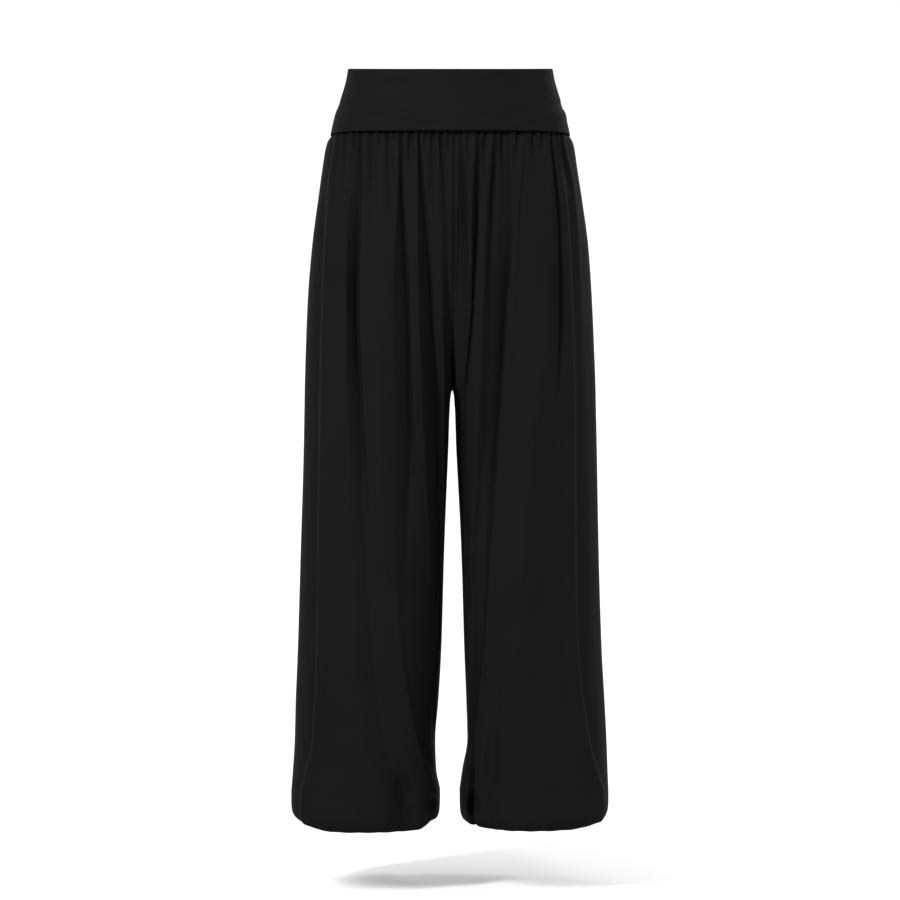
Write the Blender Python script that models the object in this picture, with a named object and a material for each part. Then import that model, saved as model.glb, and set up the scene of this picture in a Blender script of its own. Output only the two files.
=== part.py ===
"""Wide leg trousers with a fold-over jersey waistband, gathered below the band and ballooning over elastic hems.

The trousers hang as they are worn, filled out and empty. Metres, +Z up. The origin is the centre of the waist
opening, level with the top of the band at the side seams. The wearer faces -Y, and the wearer's left is +X.
Heights are given as the drop below the origin, and tables are in millimetres.
"""

import math

import bmesh
import bpy
import numpy as np

MM = 0.001

SEAM_GAP = 0.3 * MM  # between two pieces that are sewn together
CLOTH = 2.0 * MM  # wall of the single jersey of the legs
BAND_CLOTH = 2.0 * MM  # wall of the doubled jersey of the band
FRONT_DIP = 10.5 * MM  # the band is this much lower at the centre front than at the sides
BACK_RISE = 7.0 * MM  # and this much higher at the centre back
DIP_END = 210 * MM  # drop at which the level of the cloth has evened out

BAND_TOP_ROLL = 2.4 * MM  # height of the rounded fold along the band's top
FLAP_BOTTOM = 88.3 * MM  # drop of the folded lower edge of the flap
STAND_BOTTOM = 71.7 * MM  # drop of the seam between the inner band and the gathers
BAND_COLUMNS = 24

VALLEY_START = 190 * MM  # drop at which the centre seam starts to sink between the legs
CROTCH = 421.5 * MM  # drop of the point where the four leg pieces meet
VALLEY_SHARE = 0.35  # how far across a leg piece the valley of the centre seam reaches
LEG_SHAPE_START, LEG_SHAPE_END = 100 * MM, 600 * MM  # the hip's oval turns into two leg ovals between these

SPREAD_START = 470 * MM  # from here to the balloon the rows of points spread out evenly
PUFF_START = 945 * MM  # drop at which the leg starts to curl in over its elastic
PUFF_END = 958 * MM  # drop at which it reaches the casing
PUFF_CORNER = 1.8  # above 1 the balloon stays wide and turns under sharply
CASING_TOP, CASING_BOTTOM = 950 * MM, 972 * MM
CASING_RADIUS = 52 * MM
CASING_WALL = 2.6 * MM
CASING_RUFFLE = 1.1 * MM  # height of the crimps round the casing
ANKLE_BACK = 4 * MM  # the ankle is this far behind the leg's middle

# Outside of the leg pieces. side_*: half width at the side seam; inner_*: the inseam's distance from the centre;
# front and back: depth of the oval.
LEG_SECTIONS = (
    # drop  side_right side_left inner_right inner_left front back
    (72.0, 147.2, 141.8, 0.0, 0.0, 100.4, 105.6),
    (86.0, 151.2, 145.8, 0.0, 0.0, 104.6, 109.8),
    (97.0, 159.0, 153.6, 0.0, 0.0, 112.0, 118.0),
    (133.0, 168.0, 161.8, 0.0, 0.0, 118.0, 127.0),
    (172.0, 175.0, 169.5, 0.0, 0.0, 122.0, 134.0),
    (238.0, 183.5, 178.2, 0.0, 0.0, 126.0, 141.0),
    (303.0, 188.7, 182.6, 0.0, 0.0, 127.0, 142.0),
    (369.0, 191.3, 185.5, 0.0, 0.0, 125.0, 138.0),
    (421.5, 192.7, 187.4, 0.3, 0.3, 121.0, 132.0),
    (500.0, 194.0, 189.0, 5.2, 5.2, 116.0, 125.0),
    (631.0, 197.9, 191.5, 10.5, 11.8, 113.0, 119.0),
    (762.0, 201.8, 195.5, 14.4, 15.7, 111.0, 115.0),
    (828.0, 204.5, 199.2, 18.3, 18.3, 110.0, 114.0),
    (880.0, 205.8, 201.8, 22.3, 19.7, 110.0, 113.0),
    (920.0, 208.4, 203.2, 21.0, 13.0, 110.0, 113.0),
    (952.0, 211.0, 204.5, 14.4, 8.5, 109.0, 112.0),
)

# Outside of the folded-down flap of the band.
BAND_SECTIONS = (
    # drop  side_right side_left front back
    (0.0, 136.6, 131.5, 93.5, 97.5),
    (15.0, 139.2, 134.2, 96.0, 100.5),
    (42.0, 147.1, 142.2, 102.0, 106.5),
    (68.0, 155.6, 150.0, 108.0, 113.0),
    (88.5, 160.0, 154.8, 112.5, 118.0),
)

# A soft hollow runs across the band where its inner seam lies underneath.
BAND_HOLLOW_DROP_SIDE, BAND_HOLLOW_DROP_CENTRE = 50 * MM, 70 * MM
BAND_HOLLOW_WIDTH, BAND_HOLLOW_DEPTH = 9 * MM, 1.6 * MM

STATIONS = (90.0, 280.0, 420.0, 620.0, 800.0, 940.0)  # drops at which the folds' places and heights are given

# One row for each fold line of a leg's front. place: share of the front's width from the centre seam or inseam to
# the side seam, at each station. height: how far the cloth stands out of the section, in mm, at each station.
# bottom: the lowest drop of the balloon on that line.
RIGHT_FOLDS = (
    # name            place at the stations                      height at the stations         bottom
    ("centre", (0.0, 0.0, 0.0, 0.0, 0.0, 0.0), (0, 0, 0, 0, 0, 0), 984),
    ("seam ridge", (0.020, 0.015, 0.012, 0.006, 0.004, 0.003), (1, 0, 0, 0, 0, 0), 984),
    ("seam valley", (0.074, 0.050, 0.040, 0.015, 0.007, 0.005), (-4, -3, -1, 0, 0, 0), 984),
    ("thigh ridge", (0.115, 0.090, 0.075, 0.030, 0.012, 0.008), (2, 4, 3, 1, 0, 0), 984),
    ("thigh valley", (0.281, 0.183, 0.153, 0.090, 0.025, 0.012), (-4, -9, -9, -6, -3, -3), 982),
    ("slim ridge", (0.314, 0.260, 0.225, 0.153, 0.074, 0.018), (2, 3, 3, 3, 1, -2), 980),
    ("long valley", (0.430, 0.324, 0.286, 0.243, 0.158, 0.034), (-4, -9, -6, -5, -8, -16), 966),
    ("front ridge", (0.600, 0.549, 0.503, 0.424, 0.300, 0.134), (1, 3, 5, 6, 6, 6), 989),
    ("wide valley", (0.777, 0.697, 0.626, 0.549, 0.461, 0.302), (-4, -10, -9, -7, -5, -6), 991),
    ("outer ridge", (0.826, 0.789, 0.782, 0.764, 0.757, 0.785), (2, 3, 3, 3, 2, 2), 991),
    ("outer valley", (0.876, 0.840, 0.830, 0.820, 0.800, 0.840), (-3, -1, 1, 1, 1, 1), 990),
    ("side crease", (0.957, 0.894, 0.881, 0.875, 0.849, 0.926), (2, 6, 9, 11, 12, 11), 987),
    ("side valley", (0.975, 0.933, 0.918, 0.910, 0.912, 0.966), (-3, -4, -6, -6, -5, -7), 980),
    ("side ridge", (0.987, 0.963, 0.945, 0.938, 0.945, 0.983), (2, 3, 1, 0, 0, 1), 984),
    ("seam hollow", (0.995, 0.983, 0.970, 0.965, 0.970, 0.993), (-2, -2, -1, 0, 0, 0), 984),
    ("side", (1.0, 1.0, 1.0, 1.0, 1.0, 1.0), (0, 0, 0, 0, 0, 0), 984),
)
LEFT_FOLDS = (
    ("centre", (0.0, 0.0, 0.0, 0.0, 0.0, 0.0), (0, 0, 0, 0, 0, 0), 985),
    ("seam ridge", (0.020, 0.018, 0.014, 0.006, 0.004, 0.003), (1, 1, 0, 0, 0, 0), 985),
    ("seam valley", (0.077, 0.065, 0.050, 0.016, 0.008, 0.006), (-4, -5, -4, -1, 0, 0), 985),
    ("thigh ridge", (0.137, 0.120, 0.080, 0.030, 0.012, 0.010), (2, 1, -3, -1, 0, 0), 985),
    ("thigh valley", (0.231, 0.152, 0.105, 0.045, 0.018, 0.015), (-4, -8, -8, -3, -1, -1), 985),
    ("slim ridge", (0.272, 0.203, 0.161, 0.075, 0.030, 0.025), (2, 4, 5, 5, 3, 2), 985),
    ("long valley", (0.376, 0.297, 0.260, 0.172, 0.062, 0.047), (-3, -6, -8, -9, -6, -8), 983),
    ("deep valley", (0.624, 0.391, 0.326, 0.215, 0.087, 0.064), (-3, -9, -11, -12, -12, -16), 972),
    ("front ridge", (0.702, 0.449, 0.372, 0.266, 0.142, 0.134), (1, 4, 6, 7, 7, 5), 988),
    ("front face", (0.769, 0.674, 0.582, 0.449, 0.338, 0.410), (-2, 2, 3, 3, 2, 1), 989),
    ("wide valley", (0.846, 0.783, 0.737, 0.600, 0.520, 0.600), (-4, -8, -5, -3, -2, -2), 988),
    ("side crease", (0.893, 0.862, 0.856, 0.836, 0.833, 0.950), (2, 5, 8, 10, 11, 10), 985),
    ("crease foot", (0.932, 0.890, 0.870, 0.853, 0.857, 0.962), (-3, -3, 3, 4, 4, 2), 982),
    ("side ridge", (0.952, 0.920, 0.885, 0.868, 0.875, 0.972), (2, 3, 2, 1, 0, -1), 981),
    ("side valley", (0.968, 0.949, 0.902, 0.885, 0.897, 0.980), (-3, -5, -6, -6, -5, -6), 978),
    ("side", (1.0, 1.0, 1.0, 1.0, 1.0, 1.0), (0, 0, 0, 0, 0, 0), 980),
)
BACK_FOLD_SHARE = 0.85  # the folds of the hidden back are those of the other leg's front, this much as deep

# Where the gathers' small valleys meet the band, as turns across a piece (0 centre seam, 1 side seam).
RIGHT_GATHERS = (0.175, 0.266, 0.356, 0.401, 0.455, 0.524, 0.605, 0.687, 0.771, 0.835, 0.899, 0.955)
LEFT_GATHERS = (0.179, 0.264, 0.319, 0.380, 0.420, 0.476, 0.580, 0.681, 0.743, 0.832, 0.885, 0.945)
GATHER_DEPTH = 3.0 * MM  # of a gather where it leaves the band
GATHER_LENGTH = 62 * MM  # over which it fades away
FLATTENED_LENGTH = 26 * MM  # below the seam, under the flap, over which folds and gathers grow

GATHER_ROWS = (72.3, 80.0, 90.0, 104.0, 130.0)  # these rows have a column on both slopes of every gather
LEG_ROWS = (170, 215, 265, 315, 355, 385, 405, 421.5, 438, 480, 550, 630, 710, 780, 845, 900, 945)
PUFF_ROWS = (32, 62, 90, 118, 148, 180)  # degrees that the profile has turned in


def monotone(xs, ys, at):
    """A smooth curve through the points that never overshoots them."""
    xs, ys, at = (np.asarray(a, float) for a in (xs, ys, at))
    step = np.diff(xs)
    slope = np.diff(ys) / step
    tangent = np.zeros_like(ys)
    same_sign = slope[:-1] * slope[1:] > 0
    weight_1, weight_2 = 2 * step[1:] + step[:-1], step[1:] + 2 * step[:-1]
    with np.errstate(divide="ignore", invalid="ignore"):
        mean = (weight_1 + weight_2) / (weight_1 / slope[:-1] + weight_2 / slope[1:])
    tangent[1:-1] = np.where(same_sign, mean, 0.0)
    tangent[0], tangent[-1] = slope[0], slope[-1]
    i = np.clip(np.searchsorted(xs, at, side="right") - 1, 0, len(step) - 1)
    u = np.clip((at - xs[i]) / step[i], 0, 1)
    return (
        ys[i] * (1 + 2 * u) * (1 - u) ** 2
        + step[i] * tangent[i] * u * (1 - u) ** 2
        + ys[i + 1] * u**2 * (3 - 2 * u)
        + step[i] * tangent[i + 1] * u**2 * (u - 1)
    )


def smooth_step(x):
    x = np.clip(x, 0, 1)
    return x * x * (3 - 2 * x)


def read_section(table, column, drop):
    """A size from a section table at a drop, in metres."""
    rows = np.array(table)
    return float(monotone(rows[:, 0], rows[:, column], drop / MM)) * MM


def turn_of(place):
    """A share of the front's width as a turn round the oval, 0 at the centre and 1 at the side."""
    return np.arccos(1 - 2 * np.clip(place, 0, 1)) / math.pi


def width_share(turn):
    return (1 - np.cos(math.pi * turn)) / 2


def oval(share):
    """Depth of the waist's and the hip's oval, as a share of its greatest, at a share of its half width."""
    return (1 - np.clip(share, 0, 1) ** 2.2) ** (1 / 2.2)


def dip(share, drop, back):
    """How much lower the cloth hangs than its drop says, near the band, which tilts down to the front."""
    size = -BACK_RISE if back else FRONT_DIP
    return size * oval(share) * (1 - smooth_step(drop / DIP_END))


class LegPiece:
    """The outside of one leg piece, from the band to the elastic, as points and outward directions."""

    def __init__(self, left, back):
        self.left, self.back = left, back
        self.side_column, self.inner_column = (2, 4) if left else (1, 3)
        self.depth_column = 6 if back else 5
        own_folds, own_gathers = (LEFT_FOLDS, LEFT_GATHERS), (RIGHT_FOLDS, RIGHT_GATHERS)
        self.folds, self.gathers = own_folds if left != back else own_gathers
        self.fold_share = BACK_FOLD_SHARE if back else 1.0
        self.lines = turn_of([place[0] for _, place, _, _ in self.folds])
        self.x_sign, self.y_sign = (1 if left else -1), (1 if back else -1)
        ankle_side = read_section(LEG_SECTIONS, self.side_column, PUFF_START)
        ankle_inner = read_section(LEG_SECTIONS, self.inner_column, PUFF_START)
        self.ankle_x = (ankle_side + ankle_inner) / 2

    def columns(self, fine):
        """Cloth lines down the piece: each gather's valley and ridge, and both of its slopes when fine."""
        valleys = np.array(self.gathers)
        ridges = (np.r_[0.0, valleys] + np.r_[valleys, 1.0]) / 2
        lines = np.sort(np.r_[0.0, ridges, valleys, 1.0])
        if not fine:
            return lines
        return np.sort(np.r_[lines, (lines[1:] + lines[:-1]) / 2])

    def follow(self, lines, drop):
        """(turn, height, bottom) of each cloth line at a drop. The lines spread out evenly towards the hem."""
        level = min(max(drop / MM, STATIONS[0]), STATIONS[-1])
        places = turn_of([monotone(STATIONS, place, level) for _, place, _, _ in self.folds])
        heights = [monotone(STATIONS, height, level) for _, _, height, _ in self.folds]
        bottoms = [bottom for *_, bottom in self.folds]
        spread = float(smooth_step((drop - SPREAD_START) / (PUFF_START - SPREAD_START)))
        even = np.linspace(0, 1, len(lines))
        turn = monotone(self.lines, places, lines) * (1 - spread) + even * spread
        return turn, monotone(places, heights, turn) * MM * self.fold_share, monotone(places, bottoms, turn) * MM

    def gather(self, lines, drop):
        """Height of the small gathers below the band."""
        valleys = np.r_[0.0, np.array(self.gathers), 1.0]
        nearest = np.abs(lines[:, None] - valleys[None, :]).argmin(axis=1)
        spacing = np.gradient(valleys)[nearest] / 2
        wave = np.clip(np.abs(lines - valleys[nearest]) / spacing, 0, 1)
        fade = math.exp(-max(drop - FLAP_BOTTOM, 0) / GATHER_LENGTH)
        return GATHER_DEPTH * fade * (wave - 0.62)

    def section(self, turn, drop):
        """(x, y) of the smooth oval, and the direction out of it, at a drop."""
        side = read_section(LEG_SECTIONS, self.side_column, drop)
        inner = max(read_section(LEG_SECTIONS, self.inner_column, drop), SEAM_GAP / 2)
        depth = read_section(LEG_SECTIONS, self.depth_column, drop)
        share = width_share(turn)
        hip = oval(share)
        leg = np.sin(math.pi * turn) ** 0.9
        slow = float(smooth_step((drop - LEG_SHAPE_START) / (LEG_SHAPE_END - LEG_SHAPE_START)))
        sunk = min(max((drop - VALLEY_START) / (CROTCH - VALLEY_START), 0), 1)
        valley = 1 - math.sqrt(max(1 - sunk**2.4, 0))
        near_seam = 1 - smooth_step(turn / VALLEY_SHARE)
        leg_share = slow + max(valley - slow, 0) * near_seam
        return inner + (side - inner) * share, depth * (hip * (1 - leg_share) + leg * leg_share)

    def outward(self, turn, drop):
        """Unit direction out of the oval, in the plan, for the +X front quarter before it is mirrored."""
        step = 0.004
        middle = np.clip(turn, 0.02, 0.985)
        x_0, y_0 = self.section(middle - step, drop)
        x_1, y_1 = self.section(middle + step, drop)
        normal = np.stack([y_0 - y_1, x_1 - x_0], axis=1)
        return normal / np.linalg.norm(normal, axis=1, keepdims=True)

    def leg_row(self, lines, drop):
        """Outer and inner points of a row of the hanging part."""
        turn, height, _ = self.follow(lines, drop)
        flattened = 0.35 + 0.65 * float(smooth_step((drop - STAND_BOTTOM) / FLATTENED_LENGTH))
        height = flattened * (height * smooth_step(turn / 0.10) + self.gather(lines, drop))
        x, y = self.section(turn, drop)
        out = self.outward(turn, drop)
        level = -drop - dip(width_share(turn), drop, self.back)
        outer = np.stack([x + out[:, 0] * height, y + out[:, 1] * height, level], axis=1)
        inner = outer - CLOTH * np.stack([out[:, 0], out[:, 1], np.zeros_like(x)], axis=1)
        return outer, inner

    def puff_row(self, lines, degrees):
        """Outer and inner points of a row of the balloon, where the cloth turns under and up to the casing."""
        angle = math.radians(degrees)
        inward = ((1 - math.cos(angle)) / 2) ** PUFF_CORNER
        turn, height, bottoms = self.follow(lines, PUFF_START)
        x, y = self.section(turn, PUFF_START)
        out = self.outward(turn, PUFF_START)
        height = height * smooth_step(turn / 0.10) * (1 + 0.5 * math.sin(angle)) * (1 - inward)
        ruffle = CASING_RUFFLE * inward**2 * (np.arange(len(lines)) % 2 * 2 - 1)
        ring_x = self.ankle_x - (CASING_RADIUS + SEAM_GAP + ruffle) * np.cos(math.pi * turn)
        ring_y = (CASING_RADIUS + SEAM_GAP + ruffle) * np.sin(math.pi * turn)
        start = PUFF_START if degrees <= 90 else PUFF_END
        level = -(start + (bottoms - start) * math.sin(angle))
        outer = np.stack(
            [
                (x + out[:, 0] * height) * (1 - inward) + ring_x * inward,
                (y + out[:, 1] * height) * (1 - inward) + ring_y * inward,
                level,
            ],
            axis=1,
        )
        facing = np.stack(
            [out[:, 0] * math.cos(angle), out[:, 1] * math.cos(angle), np.full_like(x, -math.sin(angle))],
            axis=1,
        )
        return outer, outer - CLOTH * facing

    def place(self, points):
        """Mirrors a row into its quarter and keeps it clear of the centre plane and the side seams' plane."""
        x = np.maximum(points[:, 0], SEAM_GAP / 2) * self.x_sign
        y = np.maximum(points[:, 1], SEAM_GAP / 2) * self.y_sign
        return np.stack([x, y, points[:, 2]], axis=1)

    def rows(self):
        """[(outer points, inner points)] from the band down and round to the casing."""
        made = [self.leg_row(self.columns(fine=True), drop * MM) for drop in GATHER_ROWS]
        made += [self.leg_row(self.columns(fine=False), drop * MM) for drop in LEG_ROWS]
        made += [self.puff_row(self.columns(fine=False), degrees) for degrees in PUFF_ROWS]
        return [(self.place(outer), self.place(inner)) for outer, inner in made]


def strip(bm, upper, lower):
    """Faces between two rows of vertices. The upper row has as many vertices, or one more between each two."""
    for i in range(len(lower) - 1):
        if len(upper) == len(lower):
            bm.faces.new((upper[i], lower[i], lower[i + 1], upper[i + 1]))
        else:
            first, middle, last = upper[2 * i : 2 * i + 3]
            bm.faces.new((first, lower[i], middle))
            bm.faces.new((middle, lower[i], lower[i + 1]))
            bm.faces.new((middle, lower[i + 1], last))


def wall(name, rows, material):
    """A closed wall from rows of outer and inner points."""
    bm = bmesh.new()
    outer = [[bm.verts.new(p) for p in row] for row, _ in rows]
    inner = [[bm.verts.new(p) for p in row] for _, row in rows]
    for i in range(len(rows) - 1):
        strip(bm, outer[i], outer[i + 1])
        strip(bm, inner[i], inner[i + 1])
    for end in (0, -1):
        strip(bm, outer[end], inner[end])
        strip(bm, [row[end] for row in outer], [row[end] for row in inner])
    bmesh.ops.recalc_face_normals(bm, faces=bm.faces)
    return to_object(bm, name, material)


def tube(name, profiles, material, closed):
    """A solid swept through profiles, each a closed loop of points, joined end to end if closed."""
    bm = bmesh.new()
    loops = [[bm.verts.new(p) for p in profile] for profile in profiles]
    pairs = list(zip(loops, loops[1:] + loops[:1] if closed else loops[1:]))
    for first, second in pairs:
        for i in range(len(first)):
            j = (i + 1) % len(first)
            bm.faces.new((first[i], first[j], second[j], second[i]))
    if not closed:
        bm.faces.new(loops[0][::-1])
        bm.faces.new(loops[-1])
    bmesh.ops.recalc_face_normals(bm, faces=bm.faces)
    return to_object(bm, name, material)


def to_object(bm, name, material):
    mesh = bpy.data.meshes.new(name)
    bm.to_mesh(mesh)
    bm.free()
    mesh.shade_smooth()
    mesh.set_sharp_from_angle(angle=math.radians(50))
    mesh.materials.append(material)
    made = bpy.data.objects.new(name, mesh)
    bpy.context.scene.collection.objects.link(made)
    return made


def make_material(name, colour, roughness):
    material = bpy.data.materials.new(name)
    material.use_nodes = True
    shader = material.node_tree.nodes["Principled BSDF"]
    shader.inputs["Base Color"].default_value = (*colour, 1.0)
    shader.inputs["Roughness"].default_value = roughness
    shader.inputs["Metallic"].default_value = 0.0
    return material


def band_point(angle, out, drop, back):
    """A point of the band: out is its distance outside the flap's surface, angle 0 at the left side seam, 180 right."""
    across, deep = math.cos(angle), max(math.sin(angle), 0.0)
    column = 2 if across >= 0 else 1
    side = read_section(BAND_SECTIONS, column, drop)
    depth = read_section(BAND_SECTIONS, 4 if back else 3, drop)
    share = abs(across)
    hip = 1 / (share**2.2 + deep**2.2) ** (1 / 2.2)
    normal = np.array([across / side, deep / depth])
    normal /= np.linalg.norm(normal)
    hollow_drop = BAND_HOLLOW_DROP_SIDE + (BAND_HOLLOW_DROP_CENTRE - BAND_HOLLOW_DROP_SIDE) * deep
    hollow = BAND_HOLLOW_DEPTH * math.exp(-(((drop - hollow_drop) / BAND_HOLLOW_WIDTH) ** 2)) * deep
    x = across * hip * side + normal[0] * (out - hollow)
    y = max(deep * hip * depth + normal[1] * (out - hollow), SEAM_GAP / 2)
    level = -drop - dip(share * hip, drop, back)
    return (x, y if back else -y, level)


def band_profile(angle, back):
    """The hairpin section of the band: the flap outside, the fold on top and the stand inside."""
    roll, wall_out, slot = BAND_TOP_ROLL, BAND_CLOTH, 0.9 * MM
    stand_top, stand_foot = -(wall_out + slot), -5.4 * MM
    inside_top, inside_foot = stand_top - wall_out, stand_foot - wall_out
    flap_rows = (roll, 16 * MM, 32 * MM, 46 * MM, 58 * MM, 68 * MM, 78 * MM, FLAP_BOTTOM - 1.4 * MM)
    section = [(0.0, drop) for drop in flap_rows]
    section += [(-wall_out / 2, FLAP_BOTTOM), (-wall_out, FLAP_BOTTOM - 1.4 * MM)]
    section += [(-wall_out, 58 * MM), (-wall_out, 30 * MM), (-wall_out, roll * 1.8)]
    section += [(stand_top, roll * 1.8), (stand_top * 0.5 + stand_foot * 0.5, 36 * MM), (stand_foot, STAND_BOTTOM)]
    section += [(inside_foot, STAND_BOTTOM), (inside_top * 0.5 + inside_foot * 0.5, 36 * MM), (inside_top, roll)]
    section += [(inside_top + 0.7 * MM, 0.5 * MM), (inside_top / 2, 0.0), (-0.7 * MM, 0.5 * MM)]
    return [band_point(angle, out, drop, back) for out, drop in section]


def waistband(name, back, material):
    angles = [math.pi * i / BAND_COLUMNS for i in range(BAND_COLUMNS + 1)]
    return tube(name, [band_profile(angle, back) for angle in angles], material, closed=False)


def hem_casing(name, left, material):
    """The elastic tunnel at the end of a leg, crimped like the cloth that is sewn to it."""
    front, behind = LegPiece(left, back=False), LegPiece(left, back=True)
    lines, profiles = [], []
    for piece in (front, behind):
        turns, *_ = piece.follow(piece.columns(fine=False), PUFF_START)
        spokes = list(zip(turns, range(len(turns))))
        lines.append([(turn, index, piece.y_sign) for turn, index in spokes])
    for turn, index, y_sign in lines[0] + lines[1][-2:0:-1]:
        ruffle = CASING_RUFFLE * (index % 2 * 2 - 1)
        profile = []
        for radius, drop, crimp in (
            (CASING_RADIUS, CASING_TOP, 1.0),
            (CASING_RADIUS, (CASING_TOP + CASING_BOTTOM) / 2, 1.0),
            (CASING_RADIUS, CASING_BOTTOM, 0.6),
            (CASING_RADIUS - CASING_WALL, CASING_BOTTOM, 0.6),
            (CASING_RADIUS - CASING_WALL, CASING_TOP, 0.8),
        ):
            reach = radius + ruffle * crimp
            x = front.x_sign * (front.ankle_x - reach * math.cos(math.pi * turn))
            profile.append((x, y_sign * reach * math.sin(math.pi * turn), -drop))
        profiles.append(profile)
    return tube(name, profiles, material, closed=True)


def main():
    for old in list(bpy.data.objects):
        bpy.data.objects.remove(old)
    jersey = make_material("black_jersey", (0.012, 0.012, 0.013), 0.78)
    band_jersey = make_material("black_band_jersey", (0.013, 0.013, 0.014), 0.72)
    waistband("waistband_front", back=False, material=band_jersey)
    waistband("waistband_back", back=True, material=band_jersey)
    for side, left in (("left", True), ("right", False)):
        for face, back in (("front", False), ("back", True)):
            piece = LegPiece(left, back)
            wall(f"leg_{face}_{side}", piece.rows(), jersey)
        hem_casing(f"hem_casing_{side}", left, jersey)


main()
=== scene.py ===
"""Wide leg trousers in black jersey.

They have a fold-over waistband, gathers below it, and balloon hems over hidden elastic.

Metres, +Z up. The origin is the centre of the waist opening, level with the band's top at the side seams.
The wearer faces -Y, and the wearer's left is +X. A drop is a height counted downwards from the origin.
"""

import math

import bpy
import numpy as np
from bpy.props import FloatProperty, FloatVectorProperty, IntProperty, PointerProperty
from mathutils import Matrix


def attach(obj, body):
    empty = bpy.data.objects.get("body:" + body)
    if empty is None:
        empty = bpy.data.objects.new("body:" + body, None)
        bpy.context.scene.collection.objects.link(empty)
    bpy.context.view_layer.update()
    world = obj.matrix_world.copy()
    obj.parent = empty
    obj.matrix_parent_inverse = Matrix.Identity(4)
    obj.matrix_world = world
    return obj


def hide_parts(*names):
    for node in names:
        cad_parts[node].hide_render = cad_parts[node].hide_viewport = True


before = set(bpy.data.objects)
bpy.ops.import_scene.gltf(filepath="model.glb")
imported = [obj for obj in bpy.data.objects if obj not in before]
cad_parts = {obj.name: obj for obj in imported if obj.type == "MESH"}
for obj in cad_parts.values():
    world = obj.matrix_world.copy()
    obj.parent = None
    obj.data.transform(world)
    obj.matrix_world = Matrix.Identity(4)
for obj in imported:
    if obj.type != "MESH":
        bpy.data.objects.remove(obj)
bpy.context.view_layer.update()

bl_info = {
    "name": "Wide Leg Jersey Trousers",
    "version": (1, 0, 0),
    "blender": (4, 5, 0),
    "location": "View3D > Sidebar > Trousers",
    "description": "Builds wide leg trousers with a fold-over band and balloon hems, and their studio",
    "category": "Object",
}

MM = 0.001
SEAM_HALF = 0.15 * MM  # each piece stops this far from the plane of its seam
SEAM_TOUCH = 0.01 * MM  # and its allowance, turned inside, this far
ALLOWANCE_DEPTHS = (0.8, 2.5, 5.0)  # the allowance's rows of points, in mm from the seam

# How much lower the band is at the centre front, and higher at the centre back, than at its sides, and the
# drop at which the cloth has evened out.
FRONT_DIP, BACK_RISE, DIP_END = 10.5 * MM, 7.0 * MM, 210 * MM
STAND_BOTTOM, FLAP_BOTTOM, FLAP_EDGE = 71.7 * MM, 88.3 * MM, 87.3 * MM
LEG_TOP = 72.3 * MM  # drop of a leg piece's first row of points
ROW_SPREAD = 1.25  # above 1 the rows lie closer together at the band
OVAL_POWER = 2.2  # of the waist's and the hip's oval: 2 is an ellipse, and more is boxier
VALLEY_START, CROTCH = 190 * MM, 421.5 * MM  # the centre seam sinks in between the legs from here to here
VALLEY_SHARE = 0.14  # the turn that its valley reaches to
VALLEY_POWER = 1.7  # the higher, the later the centre seam sinks
INSEAM_CORNER, SIDE_CORNER = 0.55, 0.9  # powers of the leg's oval: the lower, the boxier
CROWDING = 0.12  # how much closer together the grid columns are at a fold line
OWN_SHARE, BESIDE_SHARE = 0.6, 0.2  # of a point and of each neighbour, where the fold lines are softened
LEAST_COLUMNS = 3  # grid columns between two fold lines
PLAN_DROPS = range(90, 945, 45)  # where the fold lines' spread is measured, in mm
NORMAL_TURNS, NORMAL_STEP = (0.02, 0.985), 0.004  # the outward direction is taken within these turns
SEAM_EASE = 0.05  # folds grow from nothing at the centre seam over this turn
LEG_SHAPE_START, LEG_SHAPE_END = 100 * MM, 600 * MM
PUFF_START, PUFF_END = 945 * MM, 958 * MM
LEAST_TURN = 0.002  # fold lines stay this far apart, as turns round the oval
PUFF_CORNER = 2.0  # above 1 the balloon stays wide and turns under sharply
PUFF_SWELL = 0.5  # how much higher the folds stand at the balloon's lowest line
PUFF_CRIMPS = 22  # half waves that the elastic draws into one leg piece
CRIMP_OUT, CRIMP_DOWN = 1.3 * MM, 1.2 * MM  # how far the elastic's crimps stand out and hang down
CRIMP_POWER = 1.5  # above 1 they grow late, close to the casing
CASING_TOP, CASING_BOTTOM, CASING_RADIUS = 950 * MM, 972 * MM, 52 * MM
CASING_CRIMP = 1.0 * MM  # height of the crimps round the casing
CASING_ROUNDNESS, CASING_END_ROUNDNESS = 0.5, 0.6  # powers of its wall's section: 1 is round

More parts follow.
